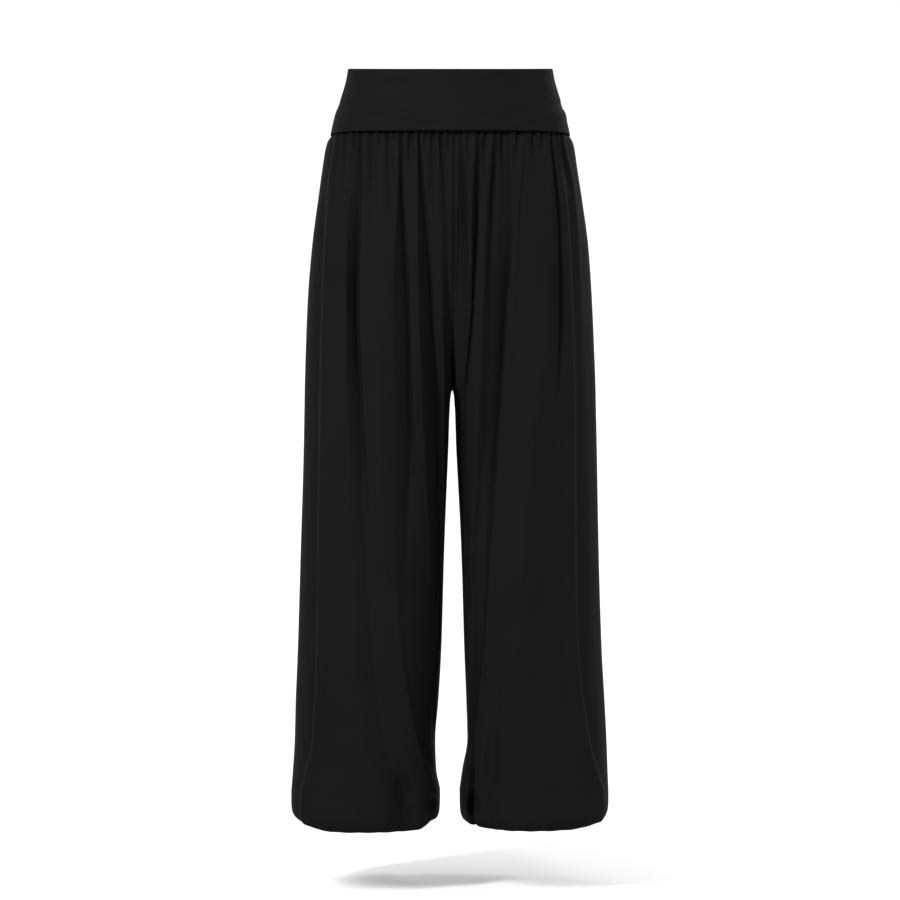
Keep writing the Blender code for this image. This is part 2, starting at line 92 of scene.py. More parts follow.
# Outside of the leg pieces, in mm. side_*: half width at the side seam; inner_*: the inseam's distance from
# the centre; front and back: depth of the oval.
LEG_SECTIONS = (
    # drop  side_right side_left inner_right inner_left front back
    (72.0, 147.2, 141.8, 0.0, 0.0, 100.4, 105.6),
    (86.0, 154.6, 149.4, 0.0, 0.0, 104.6, 109.8),
    (97.0, 162.4, 156.8, 0.0, 0.0, 112.0, 118.0),
    (133.0, 169.6, 163.4, 0.0, 0.0, 118.0, 127.0),
    (172.0, 175.0, 169.5, 0.0, 0.0, 122.0, 134.0),
    (238.0, 183.5, 178.2, 0.0, 0.0, 126.0, 141.0),
    (303.0, 188.7, 182.6, 0.0, 0.0, 127.0, 142.0),
    (369.0, 191.3, 185.5, 0.0, 0.0, 125.0, 138.0),
    (421.5, 192.7, 187.4, 0.3, 0.3, 121.0, 132.0),
    (428.0, 192.8, 187.5, 2.0, 2.0, 120.7, 131.6),
    (500.0, 194.0, 189.0, 5.2, 5.2, 116.0, 125.0),
    (631.0, 197.9, 191.5, 10.5, 11.8, 113.0, 119.0),
    (762.0, 201.8, 195.5, 14.4, 15.7, 111.0, 115.0),
    (828.0, 204.5, 199.2, 18.3, 18.3, 110.0, 114.0),
    (880.0, 205.8, 201.8, 22.3, 19.7, 110.0, 113.0),
    (920.0, 208.4, 203.2, 21.0, 13.0, 110.0, 113.0),
    (952.0, 211.0, 204.5, 14.4, 8.5, 109.0, 112.0),
)

# Outside of the folded-down flap of the band. Millimetres.
BAND_SECTIONS = (
    # drop  side_right side_left front back
    (0.0, 136.6, 131.5, 93.5, 97.5),
    (15.0, 139.2, 134.2, 96.0, 100.5),
    (42.0, 147.1, 142.2, 102.0, 106.5),
    (68.0, 155.6, 150.0, 108.0, 113.0),
    (88.5, 160.0, 154.8, 112.5, 118.0),
)

# The creases of the band's front, each a row of (distance from the middle, drop) points in mm.
SAG_LINE = ((-150, 48), (-95, 55), (-30, 69), (4, 71), (62, 67), (104, 55), (146, 50))
DRAG_LINES = (((-92, 23), (-66, 16), (-42, 11)), ((52, 8), (70, 11), (92, 18)))

# The fold lines of one leg's front, from the centre outwards. Between two lines the cloth is nearly flat.
# Each has two rows in mm, read at FOLD_DROPS: the line's distance from the middle, and how far the cloth
# stands out. The lines were read off the photo, in pixels. Many distances are a scratch script's
# conversion of those readings, rounded to whole millimetres, and the others were set by hand.
FOLD_DROPS = (100, 155, 205, 310, 460, 640, 720, 870, 940)
RIGHT_FOLDS = {
    "centre ridge": ((14, 14, 14, 12, 10, 12, 14, 22, 15), (2, 2, 3, 5, 3, 1, 0, 0, 0)),
    "strip edge": ((39, 36, 31, 24, 16, 14, 15, 23, 16), (1, 0, -1, -1, -2, -1, -1, -1, -1)),
    "strip foot": ((42, 39, 34, 26, 18, 16, 18, 25, 16), (-4, -5, -7, -9, -6, -3, -3, -2, -1)),
    "thigh ridge": ((44, 44, 44, 43, 37, 27, 22, 33, 17), (2, 4, 5, 6, 7, 4, 2, 0, -1)),
    "thigh face": ((62, 62, 60, 54, 50, 44, 44, 37, 18), (1, 1, 2, 2, 3, 2, 3, 1, -2)),
    "long valley": ((64, 64, 62, 56, 52, 60, 61, 42, 19), (-5, -7, -9, -10, -6, 2, 5, 5, 0)),
    "valley slope": ((70, 70, 72, 76, 72, 73, 69, 45, 21), (1, 1, 2, 4, 4, 6, 7, 7, 4)),
    "face middle": ((93, 93, 96, 97, 92, 86, 84, 64, 46), (2, 4, 5, 7, 7, 5, 4, 2, -1)),
    "front face": ((115, 115, 117, 119, 112, 98, 92, 75, 54), (1, 3, 4, 6, 5, 2, 1, -1, -5)),
    "wide valley": ((117, 118, 120, 122, 116, 110, 105, 89, 62), (-3, -4, -7, -10, -7, -1, -2, -3, -6)),
    "outer ridge": ((122, 128, 135, 136, 134, 128, 124, 112, 84), (2, 4, 6, 8, 7, 5, 4, 3, 1)),
    "outer face": ((130, 136, 142, 150, 151, 152, 153, 166, 166), (2, 4, 6, 8, 8, 7, 7, 7, 6)),
    "side crease": ((152, 159, 162, 167, 170, 172, 173, 179, 195), (2, 6, 7, 9, 10, 10, 10, 10, 8)),
    "crease foot": ((154, 162, 165, 169, 172, 174, 175, 181, 197), (0, 2, 3, 4, 5, 5, 5, 5, 3)),
    "side ridge": ((156, 167, 174, 181, 186, 190, 192, 197, 205), (1, 2, 3, 3, 3, 3, 3, 3, 2)),
}
LEFT_FOLDS = {
    "centre ridge": ((6, 7, 6, 5, 5, 12, 15, 19, 9), (1, 2, 3, 3, 0, 0, 0, 0, 0)),
    "centre foot": ((11, 15, 18, 16, 9, 13, 16, 21, 10), (-4, -4, -6, -5, -3, -1, -1, -1, -1)),
    "short ridge": ((14, 18, 20, 20, 11, 14, 17, 22, 12), (1, 1, 1, -3, -4, -1, -1, -1, -1)),
    "short ridge end": ((28, 26, 25, 24, 13, 15, 18, 23, 14), (2, 2, 2, -4, -5, -2, -2, -2, -1)),
    "thigh valley": ((34, 33, 32, 27, 15, 16, 19, 23, 15), (-4, -6, -8, -9, -6, -2, -2, -3, -1)),
    "bright ridge": ((36, 35, 34, 29, 18, 17, 20, 24, 16), (1, 3, 4, 5, 5, 2, 1, -1, 0)),
    "bright ridge end": ((49, 46, 43, 39, 32, 24, 22, 25, 18), (2, 4, 6, 8, 8, 4, 0, -1, 1)),
    "inner valley": ((56, 52, 48, 48, 43, 31, 27, 26, 20), (-5, -6, -5, -1, -1, -2, -4, -3, -8)),
    "inner face": ((58, 57, 57, 60, 52, 42, 38, 27, 22), (1, 1, 0, -6, -6, -5, -5, -4, -12)),
    "deep valley": ((71, 73, 74, 69, 59, 46, 41, 28, 25), (-3, -2, -4, -11, -10, -7, -6, -5, -13)),
    "main edge": ((73, 74, 76, 71, 61, 48, 43, 30, 28), (1, 2, 2, 5, 5, 4, 4, 4, 4)),
    "light ridge": ((92, 88, 84, 79, 70, 60, 55, 40, 34), (2, 4, 5, 6, 7, 7, 6, 2, 1)),
    "light groove": ((94, 90, 86, 84, 80, 72, 66, 54, 46), (1, 2, 3, 6, 8, 9, 8, -2, -4)),
    "face break": ((124, 128, 128, 124, 108, 90, 84, 76, 66), (2, 5, 6, 9, 12, 12, 11, 7, 3)),
    "side valley": ((126, 132, 137, 140, 134, 120, 114, 112, 110), (-2, -1, -1, -1, 3, 6, 6, 7, 5)),
    "crease face": ((128, 134, 139, 142, 142, 140, 142, 154, 166), (1, 3, 5, 7, 5, 6, 6, 7, 7)),
    "side crease": ((134, 144, 149, 154, 157, 158, 159, 175, 196), (3, 7, 8, 10, 9, 10, 10, 10, 7)),
    "crease foot": ((138, 147, 151, 156, 159, 160, 161, 177, 198), (0, 3, 4, 5, 5, 5, 5, 5, 3)),
    "outer ridge": ((144, 157, 162, 165, 170, 176, 178, 189, 201), (2, 4, 5, 5, 4, 3, 3, 3, 2)),
    "outer foot": ((146, 160, 166, 172, 178, 184, 186, 195, 202), (0, 1, 2, 2, 2, 1, 1, 1, 1)),
}

# How far forward of the oval the cloth rolls along two of the lines, in mm. It grows over ROLL_LENGTH.
ROLLS = {"side crease": 3, "crease foot": -1}
ROLL_LENGTH = 80 * MM

# The balloon's lowest drop at places across the leg, both in mm.
RIGHT_BOTTOMS = (
    (0, 984), (14, 984), (18, 981), (25, 980), (31, 986), (38, 990),
    (60, 991), (140, 991), (165, 990), (185, 985), (200, 982), (210, 979),
)
LEFT_BOTTOMS = (
    (0, 984), (8, 984), (20, 985), (24, 976), (30, 985), (40, 988),
    (90, 989), (150, 988), (170, 986), (185, 983), (198, 981), (205, 978),
)

# Pockets where the balloon folds in at the hem: distance from the middle, drop, half width, half height and
# depth, in mm.
RIGHT_POCKETS = ((22, 955, 11, 9, 22), (62, 938, 11, 17, 5))
LEFT_POCKETS = ((28, 959, 7, 12, 14), (51, 893, 9, 28, 5))

BACK_FOLD_SHARE = 0.85  # the hidden back takes the folds of the other leg's front, this much as high

# The small gathers of one leg's front, in mm. top and end: distance from the middle at the band and where
# the gather ends; depth of its valley and its half width; length: how far below the band it reaches.
RIGHT_GATHERS = (
    # top end depth width length
    (4, 4, 5, 2.4, 40),
    (14, 8, 8, 2.8, 100),
    (25, 24, 8, 2.8, 70),
    (34, 33, 5, 2.4, 30),
    (53, 53, 8, 2.8, 40),
    (74, 73, 5, 2.6, 35),
    (83, 78, 9, 3.4, 90),
    (92, 92, 6, 2.8, 35),
    (105, 98, 9, 3.6, 110),
    (125, 129, 6, 2.6, 60),
    (137, 142, 7, 2.8, 70),
    (145, 153, 6, 2.4, 80),
)
LEFT_GATHERS = (
    (4, 4, 5, 2.4, 40),
    (21, 22, 5, 2.4, 30),
    (43, 41, 7, 2.8, 50),
    (64, 65, 7, 2.8, 40),
    (84, 82, 7, 2.8, 40),
    (103, 104, 6, 2.8, 50),
    (114, 114, 5, 2.6, 30),
    (133, 138, 5, 2.4, 50),
    (140, 150, 6, 2.4, 80),
)
GATHER_FADE, GATHER_FADE_POWER = 1.1, 1.6  # how a gather fades along its length
GATHER_SPREAD, GATHER_SPREAD_END = 1.2, 1.5  # it widens by this share of its width, until this many lengths
GATHER_SQUEEZE = 0.35  # the least share of its width that a gather keeps towards the side
GATHER_LIFT, GATHER_LIFT_LENGTH = 1.4, 45  # the cloth stands out this far at the band, and eases over this
FLATTENED = 0.35  # the share of their height that folds keep under the flap
FLATTENED_LENGTH = 26 * MM  # and the length over which they grow

# The band's creases, in mm: the sagging trough and the roll below it, then the drag marks.
SAG_DEPTH, SAG_REACH = 2.6, 5
SAG_ROLL_HEIGHT, SAG_ROLL_BELOW, SAG_ROLL_REACH = 1.8, 13, 8
DRAG_DEPTH, DRAG_REACH = 2.2, 4.5
LINE_END = 12  # a crease fades over this length at its ends

# The band's doubled cloth. Lengths are in mm unless they name MM, and the two starts of round ends are in
# radians. out is counted from the flap's outside, and is negative inwards.
STAND_OUT, STAND_LEAN = -7.4, 2.4
TOP_ROLL_HEIGHT, TOP_ROLL_HALF, TOP_ROLL_START = 2.4, 2.45, 0.2
EDGE_HALF, EDGE_HEIGHT, EDGE_START = 0.95, 1.0, 0.3
TURNED_UP = 50  # how far the cloth runs up again behind the flap
RELIEF_DEPTH = -1.5 * MM  # points further in than this have no creases
FLAP_LIFT, FLAP_LIFT_POWER, FLAP_SAG = 4.6 * MM, 9, 1.4 * MM  # of the flap's lower edge, against its sides
FLAP_LIFT_START, FLAP_LIFT_LENGTH = 60 * MM, 28 * MM

# Sockets of Blender's Texture Coordinate node, and of its Mix node for colours.
UV_OUTPUT, OBJECT_OUTPUT = 2, 3
MIX_FACTOR, MIX_FIRST, MIX_SECOND, MIX_RESULT = 0, 6, 7, 2
TONE_DARK, TONE_LIGHT = 0.7, 1.3  # the jersey's darkest and lightest tone, as shares of its colour

# The studio, in metres: a floor that bends up into a backdrop.
FLOOR_LENGTH, FLOOR_FLAT, FLOOR_FRONT, FLOOR_LEVEL, BEND_RADIUS = 30.0, 20.0, 17.5, -1.07, 1.5
LIGHTS = (
    # name, place, aim, size, watts
    ("key", (-1.9, -2.4, 1.4), (0, 0, -0.3), (0.6, 1.4), 165),
    ("fill", (1.4, -3.4, 0.9), (0, 0, -0.4), (0.7, 1.6), 45),
    ("side_right", (2.3, 0.1, 0.4), (0, 0, -0.4), (0.4, 2.0), 36),
    ("back_right", (2.0, 2.8, 1.0), (0, 0, -0.4), (0.4, 1.6), 22),
    ("back_left", (-2.0, 2.8, 0.8), (0, 0, -0.4), (0.3, 1.6), 8),
)
WORLD_STRENGTH = 0.85
CAMERA_X, CAMERA_Z = -0.003, -0.5
SENSOR = 36.0  # mm
PHOTO_PIXELS, PIXELS_PER_METRE = 900, 763  # the photo's width, and its scale at the trousers


def smooth_step(x):
    """0 up to 0 and 1 from 1 on, with a smooth rise between."""
    x = np.clip(x, 0, 1)
    return x * x * (3 - 2 * x)


def monotone(xs, ys, at):
    """A smooth curve through the points that never overshoots them."""
    xs, ys, at = (np.asarray(a, float) for a in (xs, ys, at))
    step = np.diff(xs)
    slope = np.diff(ys) / step
    tangent = np.zeros_like(ys)
    same_sign = slope[:-1] * slope[1:] > 0
    weight_1, weight_2 = 2 * step[1:] + step[:-1], step[1:] + 2 * step[:-1]
    with np.errstate(divide="ignore", invalid="ignore"):
        mean = (weight_1 + weight_2) / (weight_1 / slope[:-1] + weight_2 / slope[1:])
    tangent[1:-1] = np.where(same_sign, mean, 0.0)
    tangent[0], tangent[-1] = slope[0], slope[-1]
    i = np.clip(np.searchsorted(xs, at, side="right") - 1, 0, len(step) - 1)
    u = np.clip((at - xs[i]) / step[i], 0, 1)
    return (
        ys[i] * (1 + 2 * u) * (1 - u) ** 2
        + step[i] * tangent[i] * u * (1 - u) ** 2
        + ys[i + 1] * u**2 * (3 - 2 * u)
        + step[i] * tangent[i + 1] * u**2 * (u - 1)
    )


def read_section(table, column, drop):
    """A column of a table of sections in mm, read at a drop, in metres."""
    rows = np.array(table)
    return float(monotone(rows[:, 0], rows[:, column], drop / MM)) * MM


def turn_of(place):
    """A share of the front's width as a turn round the oval, 0 at the centre and 1 at the side."""
    return np.arccos(1 - 2 * np.clip(place, 0, 1)) / math.pi


def width_share(turn):
    """A turn round the oval as a share of the front's width: the reverse of turn_of."""
    return (1 - np.cos(math.pi * turn)) / 2


def oval(share):
    """Depth of the waist's and the hip's oval, as a share of its greatest, at a share of its half width."""
    return (1 - np.clip(share, 0, 1) ** OVAL_POWER) ** (1 / OVAL_POWER)


def dip(share, drop, back):
    """How much lower the cloth hangs than its drop says, near the band, which tilts down to the front."""
    size = -BACK_RISE if back else FRONT_DIP
    return size * oval(share) * (1 - smooth_step(drop / DIP_END))


class LegForm:
    """The worn shape of one leg piece."""

    def __init__(self, left, back):
        self.left, self.back = left, back
        self.side_column, self.inner_column = (2, 4) if left else (1, 3)
        self.depth_column = 6 if back else 5
        left_tables = (LEFT_FOLDS, LEFT_GATHERS, LEFT_BOTTOMS, LEFT_POCKETS)
        right_tables = (RIGHT_FOLDS, RIGHT_GATHERS, RIGHT_BOTTOMS, RIGHT_POCKETS)
        folds, self.gathers, self.bottoms, self.pockets = left_tables if left != back else right_tables
        self.folds = list(folds.values())
        self.rolls = np.array([ROLLS.get(name, 0) for name in folds]) * MM
        self.fold_share = BACK_FOLD_SHARE if back else 1.0
        self.x_sign, self.y_sign = (1 if left else -1), (1 if back else -1)
        edges = (self.side_column, self.inner_column)
        self.ankle_x = sum(read_section(LEG_SECTIONS, column, PUFF_START) for column in edges) / 2

    def fold_lines(self, drop):
        """(turn, height, forward) of the seams and of each fold line between them, at a drop."""
        level = drop / MM
        across = np.array([monotone(FOLD_DROPS, places, level) for places, heights in self.folds]) * MM
        height = np.array([monotone(FOLD_DROPS, heights, level) for places, heights in self.folds]) * MM
        height *= self.fold_share
        inner = read_section(LEG_SECTIONS, self.inner_column, drop)
        side = read_section(LEG_SECTIONS, self.side_column, drop)
        out = self.outward(turn_of((across - inner) / (side - inner)), drop)
        turn = turn_of((across - out[:, 0] * height - inner) / (side - inner))
        apart = LEAST_TURN * np.arange(len(turn) + 1)
        turn = np.maximum.accumulate(np.r_[0.0, turn] - apart) + apart
        turn = np.minimum(turn, 1 - LEAST_TURN * np.arange(len(turn), 0, -1))
        forward = self.rolls * smooth_step((drop - FLAP_BOTTOM) / ROLL_LENGTH)
        return np.r_[turn, 1.0], np.r_[0.0, height, 0.0], np.r_[0.0, forward, 0.0]

    def plan(self, columns):
        """How many grid columns lie between each two fold lines, by the widest that each gap gets."""
        turns = np.array([self.fold_lines(drop * MM)[0] for drop in PLAN_DROPS])
        width = np.diff(turns, axis=1).max(axis=0)
        return np.maximum(np.rint(columns * width / width.sum()).astype(int), LEAST_COLUMNS)

    def follow(self, counts, drop):
        """(turn, height, forward) of each grid column at a drop, closer together near the fold lines."""
        knots = np.r_[0, np.cumsum(counts)]
        columns = np.arange(knots[-1] + 1)
        face = np.searchsorted(knots, columns, side="right") - 1
        along_face = (columns - knots[face]) / np.r_[counts, 1][face]
        columns = columns - CROWDING * np.sin(2 * math.pi * along_face)
        rows = [np.interp(columns, knots, row) for row in self.fold_lines(drop)]
        for row in rows[1:]:
            row[1:-1] = BESIDE_SHARE * row[:-2] + OWN_SHARE * row[1:-1] + BESIDE_SHARE * row[2:]
        return rows

    def section(self, turn, drop):
        """(x, y) of the leg's outside without its folds, at turns round it."""
        side = read_section(LEG_SECTIONS, self.side_column, drop)
        inner = max(read_section(LEG_SECTIONS, self.inner_column, drop), SEAM_HALF)
        depth = read_section(LEG_SECTIONS, self.depth_column, drop)
        share = width_share(turn)
        hip = oval(share)
        leg = np.sin(math.pi * np.clip(turn, 0, 1)) ** np.where(turn < 0.5, INSEAM_CORNER, SIDE_CORNER)
        slow = float(smooth_step((drop - LEG_SHAPE_START) / (LEG_SHAPE_END - LEG_SHAPE_START)))
        sunk = min(max((drop - VALLEY_START) / (CROTCH - VALLEY_START), 0), 1)
        valley = 1 - math.sqrt(max(1 - sunk**VALLEY_POWER, 0))
        near_seam = 1 - smooth_step(turn / VALLEY_SHARE)
        leg_share = slow + (valley - slow) * near_seam
        return inner + (side - inner) * share, depth * (hip * (1 - leg_share) + leg * leg_share)

    def outward(self, turn, drop):
        """The direction out of the section at each turn."""
        middle = np.clip(turn, *NORMAL_TURNS)
        x_0, y_0 = self.section(middle - NORMAL_STEP, drop)
        x_1, y_1 = self.section(middle + NORMAL_STEP, drop)
        normal = np.stack([y_0 - y_1, x_1 - x_0], axis=1)
        return normal / np.linalg.norm(normal, axis=1, keepdims=True)

    def small_folds(self, turn, drop):
        """Height of the gathers below the band."""
        side = read_section(LEG_SECTIONS, self.side_column, drop) / MM
        level = drop / MM
        x = width_share(turn) * side
        height = np.zeros_like(turn)
        below = max(level - FLAP_BOTTOM / MM, 0)
        for top, end, depth, width, length in self.gathers:
            at = top + (end - top) * min(below / length, 1)
            fade = math.exp(-((below / length) ** GATHER_FADE_POWER) * GATHER_FADE)
            squeeze = max(math.sqrt(max(1 - (at / side) ** OVAL_POWER, 0)), GATHER_SQUEEZE)
            span = width * squeeze * (1 + GATHER_SPREAD * min(below / length, GATHER_SPREAD_END))
            height -= depth * fade * np.exp(-(((x - at) / span) ** 2))
        height += GATHER_LIFT * math.exp(-below / GATHER_LIFT_LENGTH)
        return height * MM

    def leg_row(self, counts, drop):
        """A row of points across the leg piece, at a drop above the balloon."""
        turn, height, forward = self.follow(counts, drop)
        grown = float(smooth_step((drop - STAND_BOTTOM) / FLATTENED_LENGTH))
        flattened = FLATTENED + (1 - FLATTENED) * grown
        height = flattened * (height + self.small_folds(turn, drop)) * smooth_step(turn / SEAM_EASE)
        x, y = self.section(turn, drop)
        out = self.outward(turn, drop)
        level = -drop - dip(width_share(turn), drop, self.back)
        return np.stack([x + out[:, 0] * height, y + out[:, 1] * height + forward, level], axis=1)

    def puff_row(self, counts, angle):
        """A row of points across the balloon, where its profile has turned in by an angle."""
        inward = ((1 - math.cos(angle)) / 2) ** PUFF_CORNER
        turn, height, forward = self.follow(counts, PUFF_START)
        x, y = self.section(turn, PUFF_START)
        out = self.outward(turn, PUFF_START)
        height = height * smooth_step(turn / SEAM_EASE) * (1 + PUFF_SWELL * math.sin(angle)) * (1 - inward)
        wave = np.sin(turn * math.pi * PUFF_CRIMPS)
        crimp = CRIMP_OUT * inward**CRIMP_POWER * wave
        reach = CASING_RADIUS + 2 * SEAM_HALF + crimp
        ring_x, ring_y = self.ankle_x - reach * np.cos(math.pi * turn), reach * np.sin(math.pi * turn)
        bottoms = monotone(*np.array(self.bottoms).T, x / MM) * MM
        start = PUFF_START if angle <= math.pi / 2 else PUFF_END
        level = -(start + (bottoms - start) * math.sin(angle))
        level = level - CRIMP_DOWN * math.sin(angle) * inward * wave
        x = (x + out[:, 0] * height) * (1 - inward) + ring_x * inward
        y = (y + out[:, 1] * height + forward) * (1 - inward) + ring_y * inward
        return np.stack([x, y, level], axis=1)

    def seam_roll(self, points):
        """Adds the allowances that turn in at both upright seams."""
        front, last = np.array([0, self.y_sign, 0.0]), np.array([self.x_sign, 0, 0.0])
        rows = points.shape[0]
        share = smooth_step((-points[:, 0, 2] - VALLEY_START) / (CROTCH - VALLEY_START))[:, None]
        first_in = -(1 - share) * front + share * last
        first_in /= np.linalg.norm(first_in, axis=1, keepdims=True)
        last_in = np.tile(-last, (rows, 1))
        first = [points[:, :1] + (first_in * depth * MM)[:, None] for depth in reversed(ALLOWANCE_DEPTHS)]
        end = [points[:, -1:] + (last_in * depth * MM)[:, None] for depth in ALLOWANCE_DEPTHS]
        upright = share[:, 0] < 1
        for allowance in first:
            allowance[upright, :, 0] = SEAM_TOUCH * self.x_sign
        for allowance in end:
            allowance[:, :, 1] = SEAM_TOUCH * self.y_sign
        return np.concatenate([*first, points, *end], axis=1)

    def surface(self, columns, leg_rows, puff_rows):
        """[rows][columns] points of the outside, from the band down and round to the casing."""
        counts = self.plan(columns)
        drops = LEG_TOP + (PUFF_START - LEG_TOP) * np.linspace(0, 1, leg_rows + 1) ** ROW_SPREAD
        angles = np.linspace(0, math.pi, puff_rows + 1)[1:]
        rows = [self.leg_row(counts, drop) for drop in drops]
        rows += [self.puff_row(counts, angle) for angle in angles]
        points = np.array(rows)
        for at, drop, across, along, deep in self.pockets:
            off_x, off_z = points[:, :, 0] / MM - at, -points[:, :, 2] / MM - drop
            points[:, :, 1] -= deep * MM * np.exp(-(((off_x / across) ** 2 + (off_z / along) ** 2) ** 2))
        points[:, :, 0] = np.maximum(points[:, :, 0], SEAM_HALF) * self.x_sign
        points[:, :, 1] = np.maximum(points[:, :, 1], SEAM_HALF) * self.y_sign
        return self.seam_roll(points)


def deselect():
    if bpy.context.object and bpy.context.object.mode != "OBJECT":
        bpy.ops.object.mode_set(mode="OBJECT")
    bpy.ops.object.select_all(action="DESELECT")


def shaped_sheet(name, points, thickness, flip):
    """A flat grid of cloth, brought to the shape of points[row][column] and thickened inwards."""
    rows, columns = points.shape[0] - 1, points.shape[1] - 1
    deselect()
    bpy.ops.mesh.primitive_grid_add(
        x_subdivisions=columns, y_subdivisions=rows, size=1.0, location=(0, 0, 0)
    )
    piece = bpy.context.object
    piece.name = piece.data.name = name
    flat = np.empty(len(piece.data.vertices) * 3)
    piece.data.vertices.foreach_get("co", flat)
    flat = flat.reshape(-1, 3)
    column = np.rint((flat[:, 0] + 0.5) * columns).astype(int)
    row = np.rint((0.5 - flat[:, 1]) * rows).astype(int)
    piece.data.vertices.foreach_set("co", points[row, column].ravel())
    piece.data.update()
    if flip:
        bpy.ops.object.mode_set(mode="EDIT")
        bpy.ops.mesh.select_all(action="SELECT")
        bpy.ops.mesh.flip_normals()
        bpy.ops.object.mode_set(mode="OBJECT")
    cloth = piece.modifiers.new("Cloth", "SOLIDIFY")
    cloth.thickness, cloth.offset, cloth.use_even_offset = thickness, -1.0, False
    bpy.ops.object.modifier_apply(modifier=cloth.name)
    bpy.ops.object.shade_smooth()
    return piece


def finish_cloth(piece, node, material):
    """Gives a finished cloth piece its material, hangs it on the body's root and hides the CAD part it
    stands for.
    """
    piece.data.materials.clear()
    piece.data.materials.append(material)
    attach(piece, "root")
    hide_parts(node)


class Socket:
    """A shader socket that does maths with the usual operators."""

    def __init__(self, nodes, socket):
        self.nodes, self.socket = nodes, socket

    def maths(self, operation, *values):
        return self.nodes.add("ShaderNodeMath", {"operation": operation}, dict(enumerate(values)))

    def __add__(self, other):
        return self.maths("ADD", self, other)

    def __sub__(self, other):
        return self.maths("SUBTRACT", self, other)

    def __mul__(self, other):
        return self.maths("MULTIPLY", self, other)

    __radd__ = __add__

    def sine(self):
        return self.maths("SINE", self)


class Shader:
    """The node tree of one material."""

    def __init__(self, name):
        self.material = bpy.data.materials.new(name)
        self.material.use_nodes = True
        self.tree = self.material.node_tree
        self.surface = self.tree.nodes["Principled BSDF"]

    def add(self, kind, settings=None, values=None, output=0):
        """Adds a node, sets its settings first and then the values or links of its sockets."""
        node = self.tree.nodes.new(kind)
        for name, value in (settings or {}).items():
            setattr(node, name, value)
        for name, value in (values or {}).items():
            self.connect(node.inputs[name], value)
        return Socket(self, node.outputs[output])

    def connect(self, target, value):
        if isinstance(value, Socket):
            self.tree.links.new(value.socket, target)
        else:
            target.default_value = value


def jersey(name, colour, wales, courses, roughness):
    """Fine single jersey: upright wales crossed by courses, matt, with a faint bloom at grazing angles."""
    shader = Shader(name)
    uv = shader.add("ShaderNodeTexCoord", output=UV_OUTPUT)
    split = shader.add("ShaderNodeSeparateXYZ", values={"Vector": uv})
    across, along = split, Socket(shader, split.socket.node.outputs[1])
    place = shader.add("ShaderNodeTexCoord", output=OBJECT_OUTPUT)
    loops = (across * (wales * 2 * math.pi)).sine() * 0.6 + (along * (courses * 2 * math.pi)).sine() * 0.4
    slub = shader.add("ShaderNodeTexNoise", values={"Vector": place, "Scale": 900.0, "Detail": 2.0})
    cloudy = shader.add("ShaderNodeTexNoise", values={"Vector": place, "Scale": 14.0, "Detail": 3.0})
    dark = (*[c * TONE_DARK for c in colour], 1.0)
    light = (*[c * TONE_LIGHT for c in colour], 1.0)
    tone = shader.add(
        "ShaderNodeMix",
        {"data_type": "RGBA"},
        {MIX_FACTOR: cloudy * 0.5 + slub * 0.5, MIX_FIRST: dark, MIX_SECOND: light},
        output=MIX_RESULT,
    )
    shader.connect(shader.surface.inputs["Base Color"], tone)
    shader.connect(shader.surface.inputs["Roughness"], roughness + (slub - 0.5) * 0.16)
    relief = loops * 0.6 + slub
    bump = shader.add("ShaderNodeBump", values={"Strength": 0.25, "Distance": 0.00025, "Height": relief})
    shader.connect(shader.surface.inputs["Normal"], bump)
    shader.surface.inputs["Specular IOR Level"].default_value = 0.008
    shader.surface.inputs["Sheen Weight"].default_value = 0.0015
    shader.surface.inputs["Sheen Roughness"].default_value = 0.45
    shader.surface.inputs["Sheen Tint"].default_value = (0.8, 0.82, 0.86, 1.0)
    return shader.material


def plain(name, colour, roughness):
    """A matt material of one colour."""
    shader = Shader(name)
    shader.connect(shader.surface.inputs["Base Color"], (*colour, 1.0))
    shader.connect(shader.surface.inputs["Roughness"], roughness)
    return shader.material


class LegSettings(bpy.types.PropertyGroup):
    """Fineness and cloth of the leg pieces."""

    columns: IntProperty(
        name="Columns", description="Grid columns across one leg piece", default=210, min=40
    )
    leg_rows: IntProperty(
        name="Leg rows", description="Grid rows from the band to the balloon", default=150, min=40
    )
    puff_rows: IntProperty(
        name="Balloon rows", description="Grid rows round the balloon", default=40, min=10
    )
    cloth: FloatProperty(
        name="Cloth",
        description="Thickness of the single jersey",
        default=0.0012,
        unit="LENGTH",
        min=0.0004,
    )
    colour: FloatVectorProperty(
        name="Colour",
        description="Colour of the leg jersey",
        subtype="COLOR",
        default=(0.0046, 0.0046, 0.0048),
    )


class BandSettings(bpy.types.PropertyGroup):
    """Sizes of the fold-over band."""

    columns: IntProperty(
        name="Columns", description="Grid columns along one half of the band", default=170, min=30
    )
    cloth: FloatProperty(
        name="Cloth",
        description="Thickness of one layer of the doubled band",
        default=0.0009,
        unit="LENGTH",
    )
    colour: FloatVectorProperty(
        name="Colour",
        description="Colour of the band jersey",
        subtype="COLOR",
        default=(0.0046, 0.0046, 0.0048),
    )


class HemSettings(bpy.types.PropertyGroup):
    """Sizes of the elastic hem casings."""

    crimps: IntProperty(name="Crimps", description="Crimps round one casing", default=44, min=8)
    wall: FloatProperty(
        name="Wall", description="Thickness of the casing with its elastic", default=0.0026, unit="LENGTH"
    )


class StageSettings(bpy.types.PropertyGroup):
    """The studio round the trousers."""

    distance: FloatProperty(
        name="Camera distance",
        description="From the camera to the trousers' middle",
        default=4.5,
        unit="LENGTH",
    )
    floor_colour: FloatVectorProperty(
        name="Floor",
        description="Colour of the floor and backdrop",
        subtype="COLOR",
        default=(0.8, 0.8, 0.8),
    )


